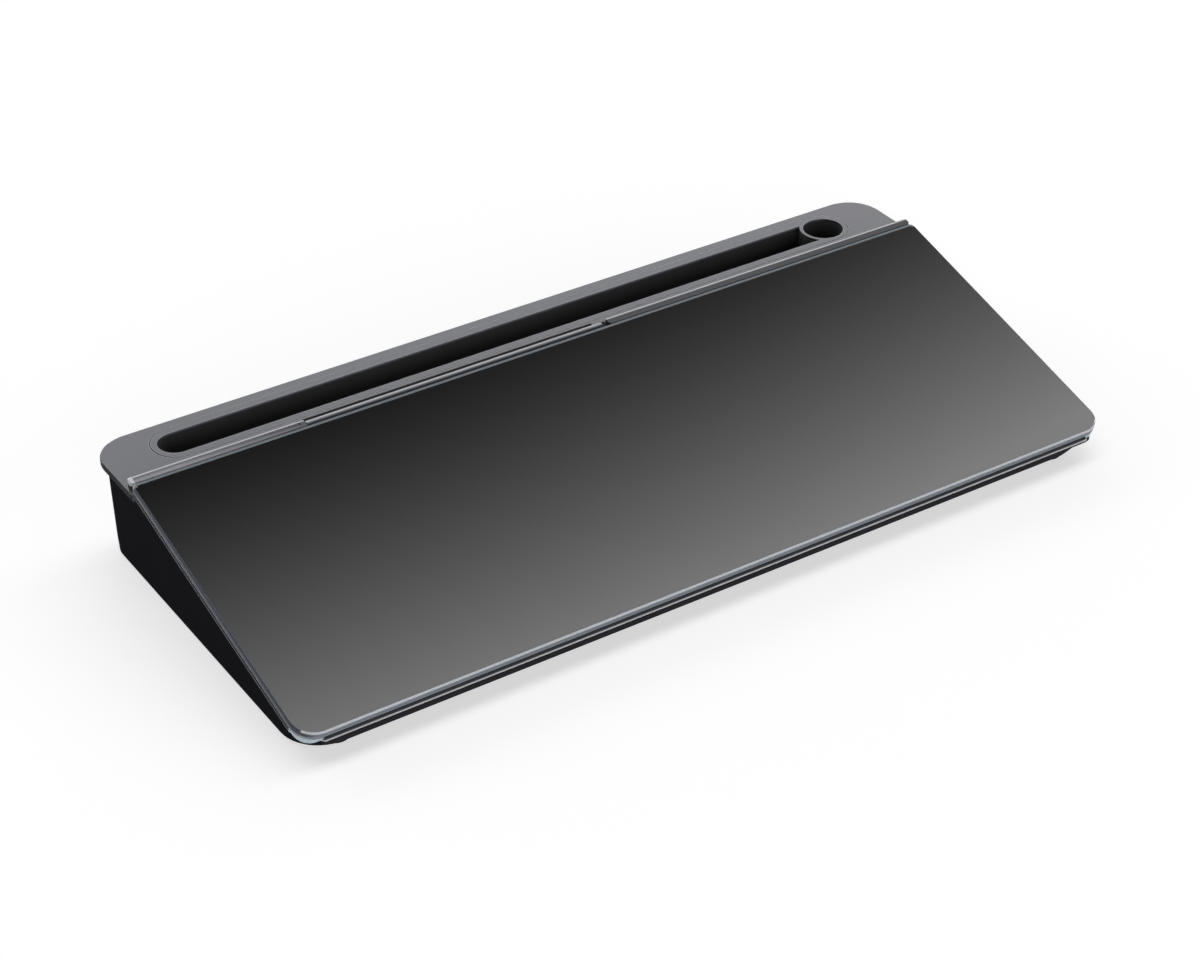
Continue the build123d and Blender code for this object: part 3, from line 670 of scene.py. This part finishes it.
# %% Writing face and border
def glass_over(name, dark, light):
    """Polished glass over a colour between dark and light: the bonded enamel, or painted grey."""
    material, tree = start_material(name)
    tone = mottled(tree, dark, light, 300.0, 2.0)[1]
    # Toughening leaves a very slight, very slow wave in the face
    place = add(tree, "ShaderNodeTexCoord")
    wave = add(tree, "ShaderNodeTexNoise", {"Scale": 9.0, "Detail": 1.0},
               {"Vector": place.outputs["Object"]})
    bump = add(tree, "ShaderNodeBump", {"Strength": 0.02, "Distance": 0.0002},
               {"Height": wave.outputs["Fac"]})
    end_material(tree, {"Roughness": 0.0, "IOR": 1.52, "Specular IOR Level": 0.62},
                 {"Base Color": tone.outputs[2], "Normal": bump.outputs[0]})
    return material


backed_glass = glass_over("glass_over_black_enamel", "#050505", "#080808")
# The border's neutral grey is painted; it stands in for the lit ground edge seen through the glass
border_glass = glass_over("glass_over_ground_edge", "#757d84", "#81888e")
print("made", backed_glass.name, "and", border_glass.name)

# %% Ground edge
ground_edge, tree = start_material("ground_glass_edge")
place = add(tree, "ShaderNodeTexCoord")
grit = add(tree, "ShaderNodeTexNoise", {"Scale": 2500.0, "Detail": 2.0},
           {"Vector": place.outputs["Object"]})
bump = add(tree, "ShaderNodeBump", {"Strength": 0.3, "Distance": 0.00003},
           {"Height": grit.outputs["Fac"]})
shine = add(tree, "ShaderNodeMapRange", {"To Min": 0.38, "To Max": 0.5},
            {"Value": grit.outputs["Fac"]})
# Painted shade: where the edge faces left its colour is painted darker
geometry = add(tree, "ShaderNodeNewGeometry")
normal = add(tree, "ShaderNodeSeparateXYZ", links={0: geometry.outputs["True Normal"]})
leftward = add(tree, "ShaderNodeMapRange", {"From Min": -0.3, "From Max": -0.7},
               {"Value": normal.outputs["X"]})
tone = add(tree, "ShaderNodeMix",
           {"data_type": "RGBA", 6: linear("#9aa2b0"), 7: linear("#474c55")},
           {0: leftward.outputs[0]})
end_material(tree, {"IOR": 1.52, "Transmission Weight": 0.2, "Specular IOR Level": 0.2},
             {"Base Color": tone.outputs[2], "Roughness": shine.outputs[0],
              "Normal": bump.outputs[0]})
print("made", ground_edge.name)

# %% Ground arris
ground_arris, tree = start_material("ground_glass_arris")
grit, tone = mottled(tree, "#dde2ea", "#eef1f6", 2500.0, 2.0)
shine = add(tree, "ShaderNodeMapRange", {"To Min": 0.24, "To Max": 0.34},
            {"Value": grit.outputs["Fac"]})
end_material(tree, {"IOR": 1.52, "Transmission Weight": 0.1},
             {"Base Color": tone.outputs[2], "Roughness": shine.outputs[0]})
print("made", ground_arris.name)


# %% Enamel and shaded arris
def dull(name, dark, light, scale):
    """A matt finish without any sheen, whose colour lies between dark and light."""
    material, tree = start_material(name)
    tone = mottled(tree, dark, light, scale, 2.0)[1]
    end_material(tree, {"Roughness": 0.6, "Specular IOR Level": 0.0},
                 {"Base Color": tone.outputs[2]})
    return material


enamel = dull("black_back_enamel", "#050505", "#080808", 300.0)
# The right arris is painted in shade: dark grey, without sheen
shaded_arris = dull("shaded_ground_arris", "#434a4d", "#4e5558", 2500.0)
# In the order of the finishes' numbers: border, arris, edge, coat, face, shade
for material in (border_glass, ground_arris, ground_edge, enamel, backed_glass, shaded_arris):
    glass_mesh.materials.append(material)
print("glass finishes:", [m.name for m in glass_mesh.materials])

# %% [markdown]
# ## Turned pieces
#
# A rubber foot and a screw are both round, so each is a profile turned about an axis. The
# first function below takes the profile as pairs of radius and height. The second makes an
# object of the result and puts it in the place of its CAD pieces.


# %% Functions for turned pieces
def turned(mesh, profile, centre, steps):
    """Adds a turned body to a bmesh. A radius of zero closes it at the axis."""
    rings = []
    for radius, height in profile:
        if radius == 0:
            rings.append([mesh.verts.new(centre + Vector((0, 0, height)))])
            continue
        ring = []
        for i in range(steps):
            angle = 2 * pi * i / steps
            spoke = Vector((radius * cos(angle), radius * sin(angle), height))
            ring.append(mesh.verts.new(centre + spoke))
        rings.append(ring)
    for lower, upper in zip(rings, rings[1:]):
        for i in range(steps):
            j = (i + 1) % steps
            corners = [lower[i % len(lower)], lower[j % len(lower)],
                       upper[j % len(upper)], upper[i % len(upper)]]
            # At the axis two corners are one, and the face is a triangle
            mesh.faces.new(list(dict.fromkeys(corners))).smooth = True


def finish_piece(name, made, node_names, body, material):
    """Makes an object of a bmesh, in place of CAD nodes, with its body and finish."""
    mesh = bpy.data.meshes.new(name)
    made.to_mesh(mesh)
    made.free()
    mesh.set_sharp_from_angle(angle=radians(40))
    mesh.materials.append(material)
    piece = bpy.data.objects.new(name, mesh)
    bpy.context.scene.collection.objects.link(piece)
    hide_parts(*node_names)
    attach(piece, body)
    print(name, "has", len(mesh.polygons), "faces")
    return piece


# %% [markdown]
# ## Rubber feet
#
# Each foot is a pad of black nitrile rubber, 14 mm across, with a rounded rim, and a
# shallow dish in its sole that helps it to grip. Rubber is matt and a little dusty grey.

# %% Rubber
rubber, tree = start_material("black_nitrile_rubber")
grain, tone = mottled(tree, "#1c1c1d", "#262627", 1600.0, 3.0)
bump = add(tree, "ShaderNodeBump", {"Strength": 0.4, "Distance": 0.00005},
           {"Height": grain.outputs["Fac"]})
end_material(tree, {"Roughness": 0.8, "Specular IOR Level": 0.35},
             {"Base Color": tone.outputs[2], "Normal": bump.outputs[0]})
print("made", rubber.name)

# %% Feet
for corner in ("front_left", "front_right", "rear_left", "rear_right"):
    low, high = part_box("foot_" + corner)
    middle = Vector(((low.x + high.x) / 2, (low.y + high.y) / 2, 0))
    radius = (high.x - low.x) / 2
    # The dish, the ring that stands on the desk, the rounded rim and the flat top
    foot_profile = [
        (0, 0.0003), (radius - 0.0024, 0.0003), (radius - 0.0018, 0.00005),
        (radius - 0.0013, 0), (radius - 0.0006, 0),
        (radius - 0.0002, 0.00018), (radius, 0.0006),
        (radius, high.z), (0, high.z),
    ]
    pad = bmesh.new()
    turned(pad, foot_profile, middle, 40)
    finish_piece("rubber_foot_" + corner, pad, ["foot_" + corner], "base", rubber)

# %% [markdown]
# ## Screws of the bottom cover
#
# Four self-tapping screws close the housing from below. Each has a low domed head with a
# cross recess. The recess is cut by two crossed wedges with a boolean modifier, the way a
# punch forms it, and the result is kept as the mesh.

# %% Cover screws
low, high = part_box("cover_screws")
head_radius = 0.0026
head_height = 0.0015
shank_radius = 0.0012
screw_places = [Vector((x, y, 0)) for x in (low.x + head_radius, high.x - head_radius)
                for y in (low.y + head_radius, high.y - head_radius)]
# The domed head, the shank and its point, from the bottom up
screw_profile = [
    (0, low.z), (0.0011, low.z + 0.00006), (0.0019, low.z + 0.0003), (0.0024, low.z + 0.0007),
    (head_radius, low.z + 0.0012), (head_radius, low.z + head_height),
    (shank_radius, low.z + head_height), (shank_radius, high.z - 0.0012),
    (0.0004, high.z), (0, high.z),
]
screws = bmesh.new()
for screw_place in screw_places:
    turned(screws, screw_profile, screw_place, 32)
cover_screw_heads = finish_piece("cover_screw_heads", screws, ["cover_screws"], "base",
                                 zinc)

# %% Cross recesses
# Height, half length and half width of a wedge at its bottom and at its top
wedge = ((low.z - 0.0005, 0.0016, 0.00032), (low.z + 0.0010, 0.0008, 0.0002))
wedge_faces = ((3, 2, 1, 0), (4, 5, 6, 7), (0, 1, 5, 4), (1, 2, 6, 5), (2, 3, 7, 6), (3, 0, 4, 7))
punch = bmesh.new()
for screw_place in screw_places:
    for turn in (pi / 4, 3 * pi / 4):
        spin = Matrix.Translation(screw_place) @ Matrix.Rotation(turn, 4, "Z")
        corners = [punch.verts.new(spin @ Vector((sx * half_length, sy * half_width, height)))
                   for height, half_length, half_width in wedge
                   for sx, sy in ((-1, -1), (1, -1), (1, 1), (-1, 1))]
        for wedge_face in wedge_faces:
            punch.faces.new([corners[i] for i in wedge_face])
punch_mesh = bpy.data.meshes.new("punch")
punch.to_mesh(punch_mesh)
punch.free()
punch_object = bpy.data.objects.new("punch", punch_mesh)
bpy.context.scene.collection.objects.link(punch_object)
cut = cover_screw_heads.modifiers.new("cross", "BOOLEAN")
cut.operation = "DIFFERENCE"
cut.solver = "EXACT"
cut.use_self = True
cut.object = punch_object
bpy.context.view_layer.update()
evaluated_screws = cover_screw_heads.evaluated_get(bpy.context.evaluated_depsgraph_get())
cut_mesh = bpy.data.meshes.new_from_object(evaluated_screws)
cover_screw_heads.modifiers.clear()
cover_screw_heads.data = cut_mesh
bpy.data.objects.remove(punch_object)
print("screw faces after the cut:", len(cut_mesh.polygons))

# %% [markdown]
# ## View settings
#
# The Standard transform shows colours as they are written.

# %% View settings
bpy.context.scene.view_settings.view_transform = "Standard"
